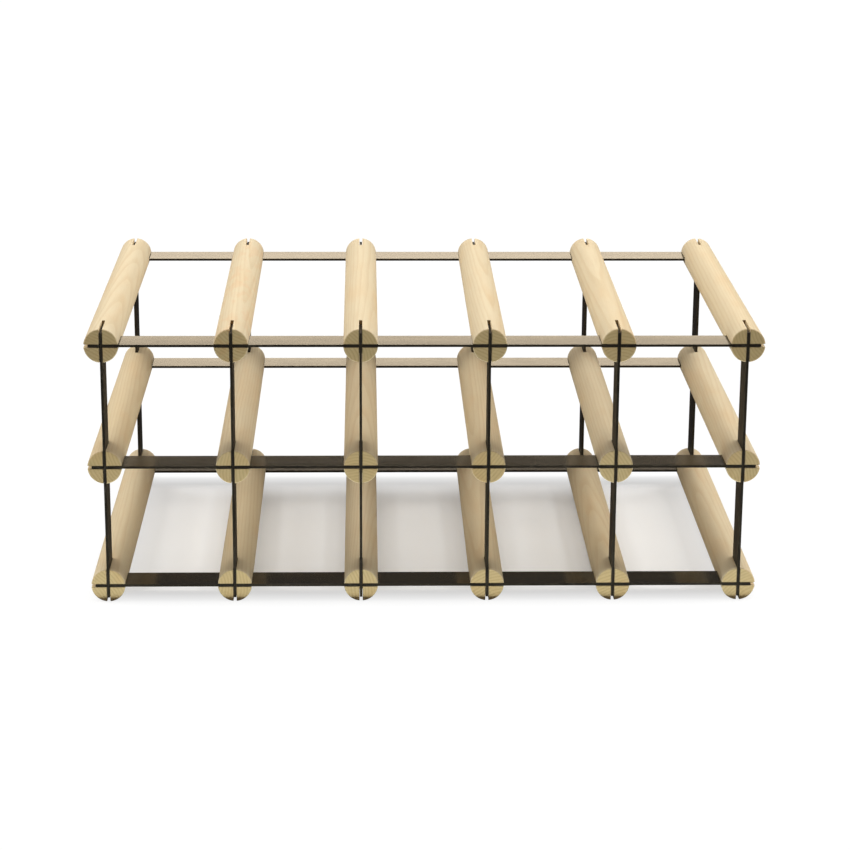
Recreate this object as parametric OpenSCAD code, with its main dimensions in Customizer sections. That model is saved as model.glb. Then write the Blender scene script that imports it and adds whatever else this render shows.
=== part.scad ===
// Wine rack of round wooden pegs on a grid of flat steel strips.
// The pegs lie front to back in rows and columns. Both ends of every peg have two crossed saw
// slots, and the strips stand edge-on in them: crossbars join a row and uprights join a column.
// Where a crossbar meets an upright, inside the peg, each is notched to half its width, so the
// two lock together. A bottle lies in the bay between four pegs, with its neck on a crossbar.
// The origin is on the ground under the middle of the rack: +X right, +Y to the rear, +Z up.

/* [Grid] */
// Peg columns from left to right; the rack has one bay fewer in each row of bays
columns = 6; // [2:1:10]
// Peg rows from bottom to top; the rack has one row of bays fewer
rows = 3; // [2:1:3]
// Distance between the middles of neighbouring columns
pitch_x = 102; // [90:1:130]
// Distance between the middles of neighbouring rows
pitch_z = 100; // [90:1:130]

/* [Pegs] */
// Diameter of a peg
peg_d = 27.5; // [24:0.5:36]
// Length of a peg, which is the rack's depth
peg_length = 330; // [200:5:360]
// Broken edge round both end faces of a peg
peg_chamfer = 0.7; // [0.2:0.1:1.5]

/* [Strips] */
// Width of a strip, measured from the peg's end face inwards
strip_width = 28; // [20:1:40]
// Thickness of the steel
strip_thickness = 2; // [1.5:0.1:3]
// How far the strips' ends stay inside the outer side of the outermost pegs
strip_inset = 3.5; // [2:0.5:8]

/* [Fits] */
// Side clearance between a strip and the saw slot it stands in
slot_clearance = 0.3; // [0.05:0.05:0.5]
// Side clearance in the notch where two strips cross
notch_clearance = 0.15; // [0.05:0.05:0.3]

/* [Colours] */
// Bare pale wood
wood_colour = [0.91, 0.80, 0.61];
// Dark steel
steel_colour = [0.17, 0.16, 0.14];

/* [Hidden] */
$fn = 96;
peg_r = peg_d / 2;
// Middle to middle, from the first column to the last and from the bottom row to the top one
grid_w = (columns - 1) * pitch_x;
grid_h = (rows - 1) * pitch_z;
// How far a strip runs past the middle of the last peg at each end
overhang = peg_r - strip_inset;
slot_w = strip_thickness + 2 * slot_clearance;
notch_w = strip_thickness + 2 * notch_clearance;
// Cutters reach this far past what they cut
past = 1;
FRONT = -1;
REAR = 1;

function column_x(column) = column * pitch_x - grid_w / 2;
function row_z(row) = peg_r + row * pitch_z;

function row_name(row) = row == 0 ? "bottom" : row == rows - 1 ? "top" : "middle";
function side_name(side) = side == FRONT ? "front" : "rear";
function peg_name(row, column) = str("peg_", row_name(row), "_", column + 1);
function crossbar_name(side, row) = str(side_name(side), "_crossbar_", row_name(row));
function upright_name(side, column) = str(side_name(side), "_upright_", column + 1);

// A plain dowel along +Y, centred on the origin, with both end edges broken
module dowel() {
    end_r = peg_r - peg_chamfer;
    rotate([-90, 0, 0])
        translate([0, 0, -peg_length / 2])
            rotate_extrude()
                polygon([
                    [0, 0],
                    [end_r, 0],
                    [peg_r, peg_chamfer],
                    [peg_r, peg_length - peg_chamfer],
                    [end_r, peg_length],
                    [0, peg_length]
                ]);
}

// The two crossed saw slots at one end of a dowel, right across its diameter
module crossed_slots(side) {
    cut_w = peg_d + 2 * past;
    cut_l = strip_width + past;
    middle_y = side * (peg_length / 2 - strip_width + cut_l / 2);
    translate([0, middle_y, 0]) {
        cube([slot_w, cut_l, cut_w], center = true);
        cube([cut_w, cut_l, slot_w], center = true);
    }
}

module peg(row, column) {
    color(wood_colour)
        translate([column_x(column), 0, row_z(row)])
            difference() {
                dowel();
                crossed_slots(FRONT);
                crossed_slots(REAR);
            }
}

// A flat strip along +X, standing edge-on between the end faces of the pegs and the bottoms of
// their slots. It is centred on the origin in X and Z.
module strip(side, length) {
    middle_y = side * (peg_length - strip_width) / 2;
    translate([0, middle_y, 0])
        cube([length, strip_width, strip_thickness], center = true);
}

// A notch across a strip, from the strip's outer or inner edge to the middle of its width
module notch(side, from_outer_edge) {
    cut_l = strip_width / 2 + past;
    strip_middle = (peg_length - strip_width) / 2;
    middle_y = strip_middle + (from_outer_edge ? cut_l / 2 : -cut_l / 2);
    translate([0, side * middle_y, 0])
        cube([notch_w, cut_l, strip_thickness + 2 * past], center = true);
}

// Joins the pegs of one row and carries the bottles' necks
module crossbar(side, row) {
    color(steel_colour)
        translate([0, 0, row_z(row)])
            difference() {
                strip(side, grid_w + 2 * overhang);
                for (column = [0:columns - 1])
                    translate([column_x(column), 0, 0])
                        notch(side, true);
            }
}

// Joins the pegs of one column; its outer edge runs unbroken over the crossbars
module upright(side, column) {
    color(steel_colour)
        translate([column_x(column), 0, peg_r + grid_h / 2])
            rotate([0, -90, 0])
                difference() {
                    strip(side, grid_h + 2 * overhang);
                    for (row = [0:rows - 1])
                        translate([row * pitch_z - grid_h / 2, 0, 0])
                            notch(side, false);
                }
}

for (row = [0:rows - 1], column = [0:columns - 1])
    peg(row, column);

for (side = [FRONT, REAR], row = [0:rows - 1])
    crossbar(side, row);

for (side = [FRONT, REAR], column = [0:columns - 1])
    upright(side, column);
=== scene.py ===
"""Looks of the wine rack: round bare-wood pegs slotted onto a grid of dark flat steel strips.

Every CAD node is replaced by a piece of its own, built here in mesh code at the place and size
that the frame gives. All lengths are in metres, +X right, +Y to the rear, +Z up.
"""

import math
import random

import bmesh
import bpy
from mathutils import Matrix, Vector, noise


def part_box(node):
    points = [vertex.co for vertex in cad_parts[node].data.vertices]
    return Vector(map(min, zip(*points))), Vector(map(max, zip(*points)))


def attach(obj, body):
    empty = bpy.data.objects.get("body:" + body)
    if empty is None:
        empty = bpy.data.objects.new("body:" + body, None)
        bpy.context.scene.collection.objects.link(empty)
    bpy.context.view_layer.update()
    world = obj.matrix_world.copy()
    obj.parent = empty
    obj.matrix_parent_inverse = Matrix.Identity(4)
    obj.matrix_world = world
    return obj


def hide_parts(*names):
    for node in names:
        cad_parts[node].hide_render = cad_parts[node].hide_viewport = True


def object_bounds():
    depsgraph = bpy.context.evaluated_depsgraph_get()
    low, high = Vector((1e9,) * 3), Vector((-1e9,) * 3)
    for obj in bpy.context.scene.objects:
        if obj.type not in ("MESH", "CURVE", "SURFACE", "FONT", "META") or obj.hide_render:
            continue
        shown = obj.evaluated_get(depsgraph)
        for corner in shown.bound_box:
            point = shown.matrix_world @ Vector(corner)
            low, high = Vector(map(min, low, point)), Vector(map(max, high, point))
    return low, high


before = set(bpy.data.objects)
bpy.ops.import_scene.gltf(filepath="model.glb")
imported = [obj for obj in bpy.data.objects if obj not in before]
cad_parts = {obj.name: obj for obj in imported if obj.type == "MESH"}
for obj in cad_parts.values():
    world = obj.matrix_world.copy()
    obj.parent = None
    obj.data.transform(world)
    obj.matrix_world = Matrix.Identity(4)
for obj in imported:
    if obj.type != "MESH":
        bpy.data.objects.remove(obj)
cad_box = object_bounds()

MM = 0.001
FRONT, REAR = -1, 1
ROWS = ("bottom", "middle", "top")
COLUMNS = range(1, 7)
SIDES = {"front": FRONT, "rear": REAR}

# Fits between the pieces, as in the CAD source
SLOT_CLEARANCE = 0.3 * MM
NOTCH_CLEARANCE = 0.15 * MM
PEG_CHAMFER = 0.7 * MM


# ---------------------------------------------------------------- shader node helpers

class Shader:
    """A material's node tree, with a short call for each kind of node that this file uses."""

    def __init__(self, name):
        self.material = bpy.data.materials.new(name)
        self.material.use_nodes = True
        self.tree = self.material.node_tree
        self.tree.nodes.clear()
        self.bsdf = self.tree.nodes.new("ShaderNodeBsdfPrincipled")
        out = self.tree.nodes.new("ShaderNodeOutputMaterial")
        self.tree.links.new(self.bsdf.outputs[0], out.inputs[0])

    def feed(self, socket, value):
        """Links a node's output into a socket, or sets the socket to a plain value."""
        if isinstance(value, bpy.types.NodeSocket):
            self.tree.links.new(value, socket)
        elif value is not None:
            socket.default_value = value

    def node(self, kind, settings=None, **inputs):
        made = self.tree.nodes.new("ShaderNode" + kind)
        for key, value in (settings or {}).items():
            setattr(made, key, value)
        for key, value in inputs.items():
            self.feed(made.inputs[key.replace("_", " ")], value)
        return made

    def attribute(self, name, output="Fac"):
        return self.node("Attribute", {"attribute_name": name}).outputs[output]

    def math(self, operation, a, b=None, c=None, clamp=False):
        made = self.tree.nodes.new("ShaderNodeMath")
        made.operation = operation
        made.use_clamp = clamp
        for socket, value in zip(made.inputs, (a, b, c)):
            self.feed(socket, value)
        return made.outputs[0]

    def vector(self, operation, a, b=None):
        made = self.tree.nodes.new("ShaderNodeVectorMath")
        made.operation = operation
        for socket, value in zip(made.inputs, (a, b)):
            self.feed(socket, value)
        return made.outputs["Value" if operation == "LENGTH" else "Vector"]

    def stretched(self, coords, along_x, along_y, along_z):
        return self.vector("MULTIPLY", coords, (along_x, along_y, along_z))

    def grain(self, log, cells):
        """Coordinates for a pattern with this many cells per metre across the grain and along it."""
        across, along = cells
        return self.stretched(log, across, along, across)

    def noise(self, coords, scale=1.0, detail=2.0, roughness=0.5):
        made = self.node("TexNoise", Vector=coords, Scale=scale, Detail=detail, Roughness=roughness)
        return made.outputs["Fac"]

    def smooth(self, value, low, high):
        """0 below low, 1 above high, with a smooth step between them."""
        made = self.node("MapRange", {"interpolation_type": "SMOOTHSTEP"}, Value=value)
        made.inputs["From Min"].default_value = low
        made.inputs["From Max"].default_value = high
        return made.outputs["Result"]

    def spread(self, value, low, high):
        """Turns 0 to 1 into low to high."""
        return self.math("MULTIPLY_ADD", value, high - low, low)

    def mix(self, factor, a, b, blend="MIX"):
        made = self.tree.nodes.new("ShaderNodeMix")
        made.data_type = "RGBA"
        made.blend_type = blend
        self.feed(made.inputs[0], factor)
        self.feed(made.inputs[6], a)
        self.feed(made.inputs[7], b)
        return made.outputs[2]

    def bump(self, height, depth):
        """Bump of a 0 to 1 height that stands for this real depth."""
        made = self.node("Bump", Height=height)
        made.inputs["Strength"].default_value = 1.0
        made.inputs["Distance"].default_value = depth
        return made.outputs["Normal"]


def rgb(r, g, b):
    return (r, g, b, 1.0)


WHITE = rgb(1, 1, 1)


# ---------------------------------------------------------------- wood

# Reflectance of bare pale wood, on its long sides and on its end grain
EARLYWOOD = rgb(0.81, 0.690, 0.480)
LATEWOOD = rgb(0.73, 0.580, 0.365)
END_EARLYWOOD = rgb(0.620, 0.465, 0.235)
END_LATEWOOD = rgb(0.535, 0.385, 0.180)
PORE_BROWN = rgb(0.42, 0.29, 0.17)
# Brown of the slots: part saw burn, part painted shade in the narrow slots
SAWN_AND_SHADED_DARK = rgb(0.16, 0.10, 0.045)
# Tints that darken the wood in places
STREAK_TINT = rgb(0.93, 0.90, 0.84)
FIBRE_TINT = rgb(0.91, 0.88, 0.84)
BLOTCH_TINT = rgb(1.0, 0.95, 0.90)
WARM_TINT = rgb(0.99, 0.965, 0.92)
FIGURE_TINT = rgb(1.0, 0.93, 0.88)

# How fine each pattern is, as noise cells per metre across the grain and along it
SWAY_CELLS = (45, 5)
YEAR_CELLS = (160, 4)
FIBRE_CELLS = (1500, 30)
STREAK_CELLS = (380, 7)
BLOTCH_CELLS = (60, 14)
PORE_CELLS = (1300, 110)
PORE_PATCH_CELLS = (500, 30)
FIGURE_CELLS = (130, 42)
# The saw marks on an end face: cells per metre along X, Y and Z of the log
SAW_MARK_CELLS = (90, 0, 2600)

RING_WIDTH = 2.6 * MM
# How far, in ring widths, the slow noise bends the rings
RING_SWAY = 1.6
# How far the slot brown (part saw burn, part painted shade) spreads over an end face from a slot's
# edge
SCORCH_AND_SHADE_REACH = 0.55 * MM
WOOD_RELIEF = 0.06 * MM
WOOD_SMOOTHEST, WOOD_ROUGHEST = 0.50, 0.78
WOOD_SPECULAR = 0.35


def wood_material():
    """Grows the pegs' grain from their place in the log that each was cut from.

    The attribute "log" is a point's place in that log: X and Z are measured from the pith and Y
    runs along the grain. "tone" is one number for each peg, from 0 for a pale one to 1 for a warm
    one, and "figure" says how much wavy pink figure it has. "sawn_and_shaded" is 1 inside the
    slots, which are browned partly as saw burn and partly as painted shade, and "beside" is the
    distance across the peg to the nearest slot.
    """
    s = Shader("bare_wood")
    log = s.attribute("log", "Vector")
    tone = s.attribute("tone")
    figure = s.attribute("figure")
    sawn_and_shaded = s.attribute("sawn_and_shaded")
    beside = s.attribute("beside")

    # Growth rings: distance from the pith, bent by slow noise that is stretched along the grain
    sway = s.noise(s.grain(log, SWAY_CELLS), detail=2)
    across = s.vector("LENGTH", s.stretched(log, 1, 0, 1))
    ring = s.math("MULTIPLY_ADD", sway, RING_SWAY, s.math("DIVIDE", across, RING_WIDTH))
    phase = s.math("FRACT", ring)
    late = s.math("MULTIPLY", s.smooth(phase, 0.35, 0.93), s.smooth(phase, 1.0, 0.93))
    # Some years grow more latewood than others
    year = s.noise(s.grain(log, YEAR_CELLS), detail=1)
    late = s.math("MULTIPLY", late, s.spread(year, 0.45, 1.5), clamp=True)

    # Fibres: fine streaks along the grain, which on an end face are dots
    fibre = s.noise(s.grain(log, FIBRE_CELLS), detail=3, roughness=0.6)
    streak = s.noise(s.grain(log, STREAK_CELLS), detail=2)
    blotch = s.noise(s.grain(log, BLOTCH_CELLS), detail=2)
    pore = s.node("TexVoronoi", {"feature": "F1"}, Vector=s.grain(log, PORE_CELLS), Randomness=1.0)
    pore = s.smooth(pore.outputs["Distance"], 0.34, 0.10)
    patch = s.noise(s.grain(log, PORE_PATCH_CELLS))
    pore = s.math("MULTIPLY", pore, s.smooth(patch, 0.50, 0.62))

    # End grain shows wherever the surface lies across the log
    normal = s.node("SeparateXYZ", Vector=s.node("NewGeometry").outputs["Normal"])
    end = s.smooth(s.math("ABSOLUTE", normal.outputs["Y"]), 0.55, 0.85)

    long_grain = s.mix(s.math("MULTIPLY", late, 0.55), EARLYWOOD, LATEWOOD)
    end_grain = s.mix(late, END_EARLYWOOD, END_LATEWOOD)
    colour = s.mix(end, long_grain, end_grain)
    colour = s.mix(s.spread(streak, 0.0, 0.5), colour, STREAK_TINT, "MULTIPLY")
    colour = s.mix(s.spread(fibre, 0.0, 0.7), colour, FIBRE_TINT, "MULTIPLY")
    colour = s.mix(s.smooth(blotch, 0.45, 0.75), colour, BLOTCH_TINT, "MULTIPLY")
    colour = s.mix(s.math("MULTIPLY", pore, 0.35), colour, PORE_BROWN)
    colour = s.mix(tone, colour, WARM_TINT, "MULTIPLY")
    wave = s.smooth(s.noise(s.grain(log, FIGURE_CELLS), detail=3), 0.45, 0.62)
    colour = s.mix(s.math("MULTIPLY", figure, wave), colour, FIGURE_TINT, "MULTIPLY")

    # Brown in the slots and in a narrow band beside them: part saw burn, part painted shade of the
    # slots' recesses
    scorch_and_shade = s.math("MULTIPLY", end, s.smooth(beside, SCORCH_AND_SHADE_REACH, 0.0))
    scorch_and_shade = s.math("MULTIPLY", s.math("MAXIMUM", sawn_and_shaded, scorch_and_shade), s.spread(streak, 0.5, 1.0))
    colour = s.mix(scorch_and_shade, colour, SAWN_AND_SHADED_DARK)

    # Saw marks: shallow scratches across the end faces
    saw = s.noise(s.stretched(log, *SAW_MARK_CELLS), detail=2)
    side_height = s.math("MULTIPLY_ADD", pore, -0.5, s.math("MULTIPLY_ADD", late, 0.25, fibre))
    end_height = s.math("MULTIPLY_ADD", late, 0.8, s.math("ADD", saw, fibre))
    height = s.math("MULTIPLY_ADD", end, s.math("SUBTRACT", end_height, side_height), side_height)

    s.feed(s.bsdf.inputs["Base Color"], colour)
    rough = s.spread(s.math("MAXIMUM", fibre, end), WOOD_SMOOTHEST, WOOD_ROUGHEST)
    s.feed(s.bsdf.inputs["Roughness"], rough)
    s.bsdf.inputs["Specular IOR Level"].default_value = WOOD_SPECULAR
    s.feed(s.bsdf.inputs["Normal"], s.bump(height, WOOD_RELIEF))
    return s.material


# ---------------------------------------------------------------- steel

STEEL = rgb(0.028, 0.019, 0.008)
STEEL_DARK = rgb(0.013, 0.009, 0.004)
STEEL_WORN = rgb(0.075, 0.056, 0.033)
STEEL_IOR = 1.5
STEEL_RELIEF = 0.002 * MM
# Roughness of the rolled sides, from where they shine most to where they shine least
ROLLED_SMOOTHEST, ROLLED_ROUGHEST = 0.07, 0.12
# What the cut edges and the dull strips add to that
MATT_ROUGHNESS = 0.4

# How fine each pattern is, as noise cells per metre along the strip, across it and through it
ROLLED_CELLS = (6, 900, 900)
CLOUD_CELLS = (35, 90, 90)
SCUFF_CELLS = (160, 420, 420)
SPECK_CELLS = 1400


def steel_material():
    """Dark mill-finished strip.

    The attribute "strip" is a point's place on its own strip: X along it, Y across its width and
    Z through its thickness. "rim" is the distance to the strip's nearest long edge. "sheared" is
    1 on its two cut ends. "dull" is 1 on the uprights, which shine less than the crossbars.
    """
    s = Shader("dark_steel")
    place = s.attribute("strip", "Vector")
    rim = s.attribute("rim")
    sheared = s.attribute("sheared")
    dull = s.attribute("dull")

    rolled = s.noise(s.stretched(place, *ROLLED_CELLS), detail=3, roughness=0.6)
    cloud = s.noise(s.stretched(place, *CLOUD_CELLS), detail=3, roughness=0.6)
    speck = s.noise(place, SPECK_CELLS, detail=2)
    scuff = s.noise(s.stretched(place, *SCUFF_CELLS), detail=4, roughness=0.7)

    worn = s.math("MULTIPLY", s.smooth(rim, 0.7 * MM, 0.1 * MM), s.smooth(scuff, 0.54, 0.68))
    colour = s.mix(s.smooth(cloud, 0.35, 0.70), STEEL, STEEL_DARK)
    colour = s.mix(s.math("MULTIPLY", s.smooth(rolled, 0.45, 0.75), 0.35), colour, STEEL_WORN)
    colour = s.mix(s.math("MULTIPLY", worn, 0.6), colour, STEEL_WORN)

    rough = s.spread(cloud, ROLLED_SMOOTHEST, ROLLED_ROUGHEST)
    rough = s.math("MULTIPLY_ADD", rolled, 0.03, rough)
    slit = s.smooth(rim, 0.15 * MM, 0.05 * MM)
    matt = s.math("MAXIMUM", slit, s.math("MAXIMUM", sheared, dull))
    rough = s.math("MULTIPLY_ADD", matt, MATT_ROUGHNESS, rough)
    height = s.math("MULTIPLY_ADD", speck, 0.04, rolled)

    s.feed(s.bsdf.inputs["Base Color"], colour)
    s.bsdf.inputs["IOR"].default_value = STEEL_IOR
    s.feed(s.bsdf.inputs["Roughness"], rough)
    s.feed(s.bsdf.inputs["Normal"], s.bump(height, STEEL_RELIEF))
    return s.material


# ---------------------------------------------------------------- mesh helpers

# Edges sharper than this are rounded
SHARP_EDGE = math.radians(32)


def finish_piece(name, bm, material, location, edge_radius, segments):
    """Makes the object, rounds its sharp edges by edge_radius and shades it smooth between them."""
    bmesh.ops.recalc_face_normals(bm, faces=bm.faces)
    mesh = bpy.data.meshes.new(name)
    bm.to_mesh(mesh)
    bm.free()
    mesh.materials.append(material)
    mesh.shade_smooth()
    piece = bpy.data.objects.new(name, mesh)
    piece.location = location
    bpy.context.scene.collection.objects.link(piece)
    rounding = piece.modifiers.new("edges", "BEVEL")
    rounding.width = edge_radius
    rounding.segments = segments
    rounding.limit_method = "ANGLE"
    rounding.angle_limit = SHARP_EDGE
    rounding.harden_normals = True
    return piece


def stand_for(piece, node):
    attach(piece, "root")
    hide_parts(node)


# ---------------------------------------------------------------- pegs

QUARTER = math.pi / 2
ARC_STEPS = 16
# Where a slot wall's points stand between the inner corner and the rim
WALL_PLACES = (0.25, 0.5, 0.75, 0.94)
WALL_STEPS = len(WALL_PLACES) + 1
PEG_EDGE_RADIUS = 0.10 * MM
PEG_EDGE_SEGMENTS = 2
# Distance between the mesh's rings along the peg, in the slots and between them
SLOT_RING_GAP = 1.6 * MM
BODY_RING_GAP = 9 * MM

# How far the sanded dowel falls short of its full size, on average
SANDED_SHORT = 0.06 * MM
# How far the saw broke the edges of a slot away, at the least and where it tore the wood
CHIP_LEAST = 0.04 * MM
CHIP_TORN = 0.42 * MM
TEAR_LEVEL = 0.12


class Peg:
    """The mesh of one slotted dowel, lying along Y with its middle at the origin.

    At each end the two saw slots leave four fingers, one in each quarter. A finger's outline is
    an inner corner, a slot wall out to the rim, an arc and the other slot wall back again.
    """

    def __init__(self, radius, length, slot_depth, slot_width, rng):
        self.r = radius
        self.half = length / 2
        self.depth = slot_depth
        self.k = slot_width / 2
        self.rng = rng
        self.bm = bmesh.new()
        # Points on the slot walls and floors, which the wood shader paints brown: part saw burn,
        # part painted shade
        self.sawn_and_shaded = set()
        self.seed = Vector((rng.uniform(0, 90), rng.uniform(0, 90), rng.uniform(0, 90)))

    def worn_radius(self, y, angle):
        """The sanded dowel is never quite round, and never larger than its full size."""
        swell = noise.noise(self.seed + Vector((2 * math.cos(angle), 30 * y, 2 * math.sin(angle))))
        return -SANDED_SHORT * (1 + swell)

    def chip(self, y, wall):
        """How far the saw tore the edge of a slot wall away, mostly a hair and now and then more."""
        tear = noise.noise(self.seed + Vector((420 * y, 7.0 * wall, 3.3)))
        return CHIP_LEAST + CHIP_TORN * max(0.0, tear - TEAR_LEVEL)

    def outline(self, quarter, y, radius):
        """One finger's points at a ring: the inner corner, wall, arc, wall, all in X and Z."""
        k = self.k
        first = math.asin(k / radius)
        arc = []
        for i in range(ARC_STEPS + 1):
            a = first + (QUARTER - 2 * first) * i / ARC_STEPS
            rho = radius + self.worn_radius(y, a + quarter * QUARTER)
            arc.append(Vector((rho * math.cos(a), 0, rho * math.sin(a))))
        arc[0] = Vector((arc[0].x, 0, k + self.chip(y, quarter * 2)))
        arc[-1] = Vector((k + self.chip(y, quarter * 2 + 1), 0, arc[-1].z))
        corner = Vector((k, 0, k))
        wall_a = [Vector((corner.x + (arc[0].x - corner.x) * t, 0, k)) for t in WALL_PLACES]
        wall_b = [Vector((k, 0, corner.z + (arc[-1].z - corner.z) * t)) for t in WALL_PLACES]
        turn = Matrix.Rotation(-quarter * QUARTER, 4, "Y")
        points = [corner] + wall_a + arc + wall_b[::-1]
        return [turn @ p + Vector((0, y, 0)) for p in points]

    def finger(self, side, quarter, rings):
        """Walls and arc of one finger, ring by ring, and its end face. Returns its root loop."""
        loops = []
        for y, radius in rings:
            loops.append([self.bm.verts.new(p) for p in self.outline(quarter, side * y, radius)])
        for low, high in zip(loops, loops[1:]):
            for i in range(len(low)):
                j = (i + 1) % len(low)
                self.bm.faces.new((low[i], low[j], high[j], high[i]))
        for loop in loops[1:]:
            self.sawn_and_shaded.update(loop[:WALL_STEPS] + loop[WALL_STEPS + ARC_STEPS + 1:])
        self.end_face(loops[0])
        return loops[-1]

    def end_face(self, loop):
        """Fills a finger's flat end with a fan of quads from its inner corner."""
        corner = loop[0]
        wall_a = loop[1:WALL_STEPS]
        arc = loop[WALL_STEPS:WALL_STEPS + ARC_STEPS + 1]
        wall_b = loop[WALL_STEPS + ARC_STEPS + 1:][::-1]
        spokes = [wall_a + [arc[0]]]
        for i in range(1, ARC_STEPS):
            spoke = []
            for j in range(1, WALL_STEPS):
                place = corner.co.lerp(arc[i].co, WALL_PLACES[j - 1])
                spoke.append(self.bm.verts.new(place))
            spokes.append(spoke + [arc[i]])
        spokes.append(wall_b + [arc[-1]])
        for a, b in zip(spokes, spokes[1:]):
            self.bm.faces.new((corner, a[0], b[0]))
            for j in range(WALL_STEPS - 1):
                self.bm.faces.new((a[j], a[j + 1], b[j + 1], b[j]))

    def slot_floor(self, side, roots):
        """The cross-shaped bottom of the slots. Returns the peg's full circle at that depth."""
        y = side * (self.half - self.depth)
        middle = self.bm.verts.new((0, y, 0))
        arms = []
        for quarter in range(4):
            turn = Matrix.Rotation(-quarter * QUARTER, 4, "Y")
            line = []
            for t in (0,) + WALL_PLACES + (1,):
                x = self.k + (self.r - self.k) * t
                line.append(self.bm.verts.new(turn @ Vector((x, y, 0))))
            self.sawn_and_shaded.update([middle] + line[:-1])
            arms.append(line)
        circle = []
        for quarter in range(4):
            loop = roots[quarter]
            before = roots[quarter - 1]
            line = arms[quarter]
            arc = loop[WALL_STEPS:WALL_STEPS + ARC_STEPS + 1]
            right = [loop[0]] + loop[1:WALL_STEPS] + [arc[0]]
            wall_b = before[WALL_STEPS + ARC_STEPS + 1:][::-1]
            left = [before[0]] + wall_b + [before[WALL_STEPS + ARC_STEPS]]
            for j in range(WALL_STEPS):
                self.bm.faces.new((line[j], line[j + 1], right[j + 1], right[j]))
                self.bm.faces.new((left[j], left[j + 1], line[j + 1], line[j]))
            self.bm.faces.new((middle, line[0], right[0], arms[(quarter + 1) % 4][0]))
            circle += [line[-1]] + arc
        return circle

    def build(self):
        """The whole peg: slotted ends first, then the round body between them."""
        slot_rings = [(self.half, self.r - PEG_CHAMFER), (self.half - PEG_CHAMFER, self.r)]
        count = round(self.depth / SLOT_RING_GAP)
        for i in range(1, count + 1):
            inwards = (self.depth - PEG_CHAMFER) * i / count
            slot_rings.append((self.half - PEG_CHAMFER - inwards, self.r))
        circles = {}
        for side in (FRONT, REAR):
            roots = [self.finger(side, quarter, slot_rings) for quarter in range(4)]
            circles[side] = self.slot_floor(side, roots)
        reach = self.half - self.depth
        count = round(2 * reach / BODY_RING_GAP)
        last = circles[FRONT]
        for i in range(1, count + 1):
            y = -reach + 2 * reach * i / count
            ring = circles[REAR] if i == count else self.body_ring(circles[FRONT], y)
            for a in range(len(last)):
                b = (a + 1) % len(last)
                self.bm.faces.new((last[a], last[b], ring[b], ring[a]))
            last = ring
        return self.bm

    def body_ring(self, circle, y):
        ring = []
        for v in circle:
            a = math.atan2(v.co.z, v.co.x)
            rho = self.r + self.worn_radius(y, a)
            ring.append(self.bm.verts.new((rho * math.cos(a), y, rho * math.sin(a))))
        return ring


# The photo shows wavy figure on this peg alone
FIGURED = ("peg_top_2",)
STRONG_FIGURE, FAINT_FIGURE = 1.0, 0.15

# Where the pegs lay in their logs: millimetres from the pith, metres along the log and the
# grain's steepest slope in degrees
PITH_NEAREST, PITH_FARTHEST = 22, 70
LOG_LENGTH = 9
STEEPEST_SLOPE = 2.2


def log_frame(rng):
    """Where a peg lay in its log: its distance from the pith, its turn and the grain's slope."""
    off_pith = rng.uniform(PITH_NEAREST, PITH_FARTHEST) * MM
    pith = Matrix.Translation((off_pith, rng.uniform(0, LOG_LENGTH), 0))
    turn = Matrix.Rotation(rng.uniform(0, 2 * math.pi), 4, "Y")
    slope = math.radians(rng.uniform(-STEEPEST_SLOPE, STEEPEST_SLOPE))
    slope = Matrix.Rotation(slope, 4, "Z")
    return pith @ slope @ turn


def make_peg(node, material, slot_depth, slot_width, rng):
    low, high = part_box(node)
    radius = (high.z - low.z) / 2
    middle = (low + high) / 2
    peg = Peg(radius, high.y - low.y, slot_depth, slot_width, rng)
    bm = peg.build()
    in_log = log_frame(rng)
    log = bm.verts.layers.float_vector.new("log")
    tone = bm.verts.layers.float.new("tone")
    figure = bm.verts.layers.float.new("figure")
    sawn_and_shaded = bm.verts.layers.float.new("sawn_and_shaded")
    beside = bm.verts.layers.float.new("beside")
    shade = rng.random()
    waviness = STRONG_FIGURE if node in FIGURED else FAINT_FIGURE
    for v in bm.verts:
        v[log] = in_log @ v.co
        v[tone] = shade
        v[figure] = waviness
        # 1 on the slot surfaces, which are painted brown: part saw burn, part painted shade
        v[sawn_and_shaded] = float(v in peg.sawn_and_shaded)
        v[beside] = min(abs(v.co.x), abs(v.co.z)) - slot_width / 2
    piece = finish_piece(node + "_wood", bm, material, middle, PEG_EDGE_RADIUS, PEG_EDGE_SEGMENTS)
    stand_for(piece, node)


# ---------------------------------------------------------------- strips

STRIP_EDGE_RADIUS = 0.12 * MM
STRIP_EDGE_SEGMENTS = 3
# Greatest distance between the mesh's points along a strip
STRIP_STEP = 13 * MM
# How far in from a cut end its rough finish reaches
SHEARED_DEPTH = 0.6 * MM


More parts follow.
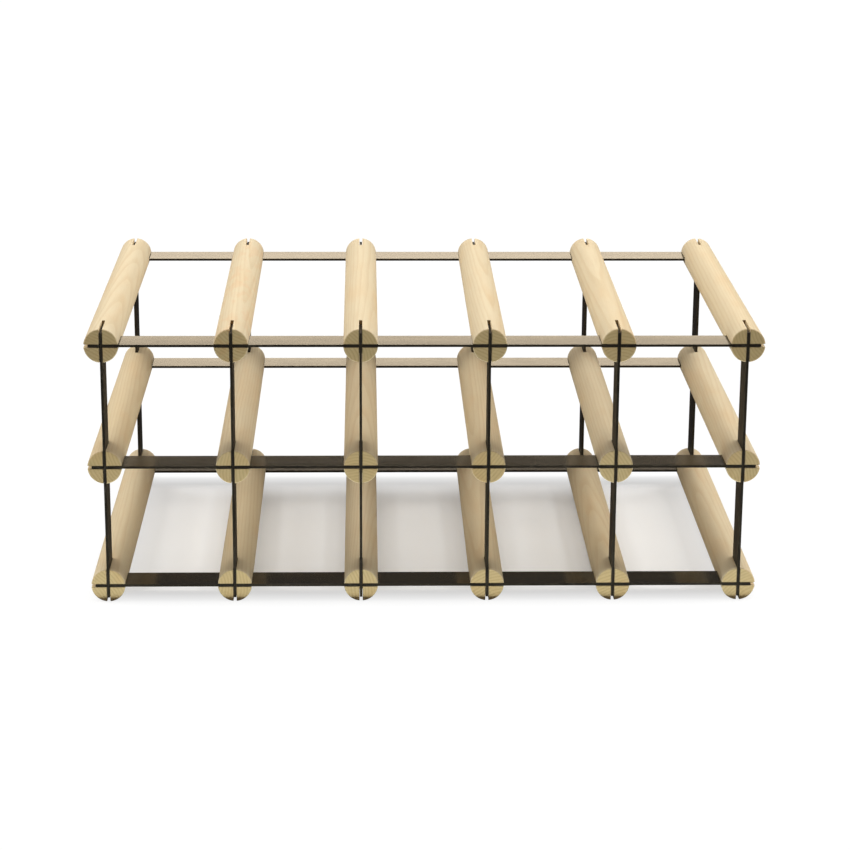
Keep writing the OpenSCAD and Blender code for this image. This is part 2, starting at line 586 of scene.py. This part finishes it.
def strip_mesh(length, width, thickness, notch_places, notch_width, notch_from):
    """A flat strip along X, its width along Y and its middle at the origin.

    The notches are cut from its long edge on the notch_from side to the middle of its width.
    """
    end = length / 2
    cuts = [-end, SHEARED_DEPTH - end, end - SHEARED_DEPTH, end]
    for x in notch_places:
        cuts += [x - notch_width / 2, x + notch_width / 2]
    cuts.sort()
    xs = []
    for a, b in zip(cuts, cuts[1:]):
        steps = max(1, round((b - a) / STRIP_STEP))
        xs += [a + (b - a) * i / steps for i in range(steps)]
    xs.append(cuts[-1])
    ys = [-width / 2, -width / 4, 0, width / 4, width / 2]

    def solid(i, j):
        middle_x = (xs[i] + xs[i + 1]) / 2
        in_notch = any(abs(middle_x - x) < notch_width / 2 for x in notch_places)
        return not (in_notch and (ys[j] + ys[j + 1]) * notch_from > 0)

    bm = bmesh.new()
    verts = {}

    def vert(i, j, level):
        if (i, j, level) not in verts:
            verts[i, j, level] = bm.verts.new((xs[i], ys[j], level * thickness / 2))
        return verts[i, j, level]

    cells = {(i, j) for i in range(len(xs) - 1) for j in range(len(ys) - 1) if solid(i, j)}
    for i, j in cells:
        corners = ((i, j), (i + 1, j), (i + 1, j + 1), (i, j + 1))
        for level in (-1, 1):
            bm.faces.new([vert(a, b, level) for a, b in corners])
        neighbours = ((i, j - 1), (i + 1, j), (i, j + 1), (i - 1, j))
        for n, neighbour in enumerate(neighbours):
            if neighbour not in cells:
                a, b = corners[n], corners[(n + 1) % 4]
                bm.faces.new((vert(*a, -1), vert(*b, -1), vert(*b, 1), vert(*a, 1)))
    return bm


def make_strip(node, material, along, places, notch_from, rng):
    """along is "X" for a crossbar and "Z" for an upright.

    places are the notches' places along it, from its middle, and notch_from is the side in Y
    that they are cut from.
    """
    low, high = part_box(node)
    size = high - low
    length, thickness = (size.x, size.z) if along == "X" else (size.z, size.x)
    notch_width = thickness + 2 * NOTCH_CLEARANCE
    bm = strip_mesh(length, size.y, thickness, places, notch_width, notch_from)
    strip = bm.verts.layers.float_vector.new("strip")
    rim = bm.verts.layers.float.new("rim")
    sheared = bm.verts.layers.float.new("sheared")
    dull = bm.verts.layers.float.new("dull")
    shift = Vector((rng.uniform(0, 40), rng.uniform(0, 40), rng.uniform(0, 40)))
    for v in bm.verts:
        v[strip] = v.co + shift
        v[rim] = size.y / 2 - abs(v.co.y)
        v[sheared] = float(abs(v.co.x) > length / 2 - SHEARED_DEPTH / 2)
        v[dull] = float(along == "Z")
    if along == "Z":
        bmesh.ops.rotate(bm, verts=bm.verts, matrix=Matrix.Rotation(-QUARTER, 3, "Y"))
    middle = (low + high) / 2
    piece = finish_piece(
        node + "_strip", bm, material, middle, STRIP_EDGE_RADIUS, STRIP_EDGE_SEGMENTS,
    )
    stand_for(piece, node)


# ---------------------------------------------------------------- the rack

def build_rack():
    wood = wood_material()
    steel = steel_material()
    bar_low, bar_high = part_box("front_crossbar_top")
    strip_width = bar_high.y - bar_low.y
    slot_width = bar_high.z - bar_low.z + 2 * SLOT_CLEARANCE

    peg_at = {}
    for row in ROWS:
        for column in COLUMNS:
            node = f"peg_{row}_{column}"
            low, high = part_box(node)
            peg_at[row, column] = (low + high) / 2
            rng = random.Random(f"wood {node}")
            make_peg(node, wood, strip_width, slot_width, rng)

    centre = (cad_box[0] + cad_box[1]) / 2
    for side_name, side in SIDES.items():
        for row in ROWS:
            node = f"{side_name}_crossbar_{row}"
            places = [peg_at[row, column].x - centre.x for column in COLUMNS]
            make_strip(node, steel, "X", places, side, random.Random(f"steel {node}"))
        for column in COLUMNS:
            node = f"{side_name}_upright_{column}"
            places = [peg_at[row, column].z - centre.z for row in ROWS]
            make_strip(node, steel, "Z", places, -side, random.Random(f"steel {node}"))


# ---------------------------------------------------------------- studio

CAMERA_AZIMUTH = math.radians(-1.43)
CAMERA_ELEVATION = math.radians(16.66)
CAMERA_ROLL = math.radians(0.32)
CAMERA_DISTANCE = 2.024
CAMERA_LENS = 107.9
CAMERA_SENSOR = 36
# The camera aims this far above the middle of the rack's front
AIM_RISE = 35 * MM

FLOOR_REACH = 12.0
# How white the floor is, as the rack is lit by it and as the camera sees it
FLOOR_BOUNCE, FLOOR_WHITE = 0.34, 0.90
# The floor fades to plain white between these distances from the rack's outline; less than
# nothing is under the rack
FLOOR_NEAR, FLOOR_FAR = -0.08, 0.03
# How much it glows of itself for the camera, before and after that fade
FLOOR_GLOW_NEAR, FLOOR_GLOW_FAR = 0.10, 1.03
# How bright the world is as a light and as a background
WORLD_LIGHT, WORLD_SEEN = 0.06, 1.0

HORIZON_HIGH_COLOUR = (1.0, 0.83, 0.60)
HORIZON_LOW_COLOUR = (1.0, 0.85, 0.66)
BOUNCE_COLOUR = (0.84, 0.95, 1.0)


def make_camera():
    low, high = cad_box
    aim = Vector(((low.x + high.x) / 2, low.y, (low.z + high.z) / 2 + AIM_RISE))
    data = bpy.data.cameras.new("camera")
    data.lens = CAMERA_LENS
    data.sensor_width = CAMERA_SENSOR
    camera = bpy.data.objects.new("camera", data)
    ahead = Vector((
        -math.sin(CAMERA_AZIMUTH) * math.cos(CAMERA_ELEVATION),
        math.cos(CAMERA_AZIMUTH) * math.cos(CAMERA_ELEVATION),
        -math.sin(CAMERA_ELEVATION),
    ))
    facing = ahead.to_track_quat("-Z", "Y").to_matrix().to_4x4()
    roll = Matrix.Rotation(CAMERA_ROLL, 4, "Z")
    camera.matrix_world = Matrix.Translation(aim - ahead * CAMERA_DISTANCE) @ facing @ roll
    bpy.context.scene.collection.objects.link(camera)
    bpy.context.scene.camera = camera


def area_light(name, place, aim, width, depth, watts, colour=(1, 1, 1), reflected=True):
    """A rectangular lamp that the camera never sees; reflected says if the steel mirrors it."""
    data = bpy.data.lights.new(name, "AREA")
    data.shape = "RECTANGLE"
    data.size = width
    data.size_y = depth
    data.energy = watts
    data.color = colour
    light = bpy.data.objects.new(name, data)
    light.location = place
    light.rotation_euler = (Vector(aim) - Vector(place)).to_track_quat("-Z", "Y").to_euler()
    light.visible_camera = False
    light.visible_glossy = reflected
    bpy.context.scene.collection.objects.link(light)


def pale_for_the_camera(s, dim, bright):
    """dim for light rays and bright for the camera's own.

    The ground stays white that way, while the rack is lit by the lamps.
    """
    seen = s.node("LightPath").outputs["Is Camera Ray"]
    return s.math("MULTIPLY_ADD", seen, s.math("SUBTRACT", bright, dim), dim)


def make_floor():
    s = Shader("pale_floor")
    spot = s.node("SeparateXYZ", Vector=s.node("TexCoord").outputs["Object"])
    low, high = cad_box
    beside = s.math("SUBTRACT", s.math("ABSOLUTE", spot.outputs["X"]), high.x)
    before = s.math("SUBTRACT", s.math("ABSOLUTE", spot.outputs["Y"]), high.y)
    away = s.math("MAXIMUM", beside, before)
    far = s.smooth(away, FLOOR_NEAR, FLOOR_FAR)
    glow = s.spread(far, FLOOR_GLOW_NEAR, FLOOR_GLOW_FAR)
    white = pale_for_the_camera(s, FLOOR_BOUNCE, s.spread(far, FLOOR_WHITE, 0.0))
    white = s.node("CombineColor", Red=white, Green=white, Blue=white)
    s.feed(s.bsdf.inputs["Base Color"], white.outputs[0])
    s.bsdf.inputs["Roughness"].default_value = 0.9
    s.bsdf.inputs["Specular IOR Level"].default_value = 0.0
    s.bsdf.inputs["Emission Color"].default_value = WHITE
    s.feed(s.bsdf.inputs["Emission Strength"], pale_for_the_camera(s, 0.0, glow))
    mesh = bpy.data.meshes.new("floor")
    corners = [(-1, -1), (1, -1), (1, 1), (-1, 1)]
    mesh.from_pydata([(FLOOR_REACH * x, FLOOR_REACH * y, 0) for x, y in corners], [], [(0, 1, 2, 3)])
    mesh.materials.append(s.material)
    floor = bpy.data.objects.new("floor", mesh)
    floor.location.z = cad_box[0].z
    floor.visible_glossy = False
    bpy.context.scene.collection.objects.link(floor)


def make_world():
    world = bpy.data.worlds.new("studio")
    world.use_nodes = True
    tree = world.node_tree
    background = tree.nodes["Background"]
    background.inputs["Color"].default_value = WHITE
    seen = tree.nodes.new("ShaderNodeLightPath")
    strength = tree.nodes.new("ShaderNodeMath")
    strength.operation = "MULTIPLY_ADD"
    strength.inputs[1].default_value = WORLD_SEEN - WORLD_LIGHT
    strength.inputs[2].default_value = WORLD_LIGHT
    tree.links.new(seen.outputs["Is Camera Ray"], strength.inputs[0])
    tree.links.new(strength.outputs[0], background.inputs["Strength"])
    bpy.context.scene.world = world


def light_from_above():
    """A wide soft lamp overhead and one from each side, which keeps the pegs' flanks light."""
    area_light("overhead", place=(0, 0.10, 1.7), aim=(0, 0.05, 0), width=2.6, depth=2.0, watts=22)
    for name, side, watts in (("left", -1, 31), ("right", 1, 34)):
        area_light(
            name, place=(1.9 * side, 0.2, 1.4), aim=(0, 0.05, 0.2), width=1.0, depth=1.2,
            watts=watts, reflected=False,
        )


def light_from_the_horizon():
    """Two far, low lamps behind the rack, for the shine on the crossbars' upper sides.

    From the camera the top crossbars and the rear middle one mirror them. The others turn the
    view up past them and stay dark.
    """
    area_light(
        "horizon_high", place=(0, 11.0, 2.93), aim=(0, 0, 0.2), width=6.0, depth=0.5,
        watts=31, colour=HORIZON_HIGH_COLOUR,
    )
    area_light(
        "horizon_low", place=(0, 11.0, 1.83), aim=(0, 0, 0.2), width=6.0, depth=1.7,
        watts=33, colour=HORIZON_LOW_COLOUR,
    )


def light_from_the_ground():
    """The bright ground before the rack, which lights the lowest end faces the most."""
    area_light(
        "front_bounce", place=(0, -0.317, 0.003), aim=(0, -0.317, 1.0), width=0.9, depth=0.30,
        watts=1.62, colour=BOUNCE_COLOUR, reflected=False,
    )


def build_studio():
    make_camera()
    make_floor()
    make_world()
    light_from_above()
    light_from_the_horizon()
    light_from_the_ground()
    view = bpy.context.scene.view_settings
    view.view_transform = "Standard"
    view.look = "None"


build_studio()
build_rack()
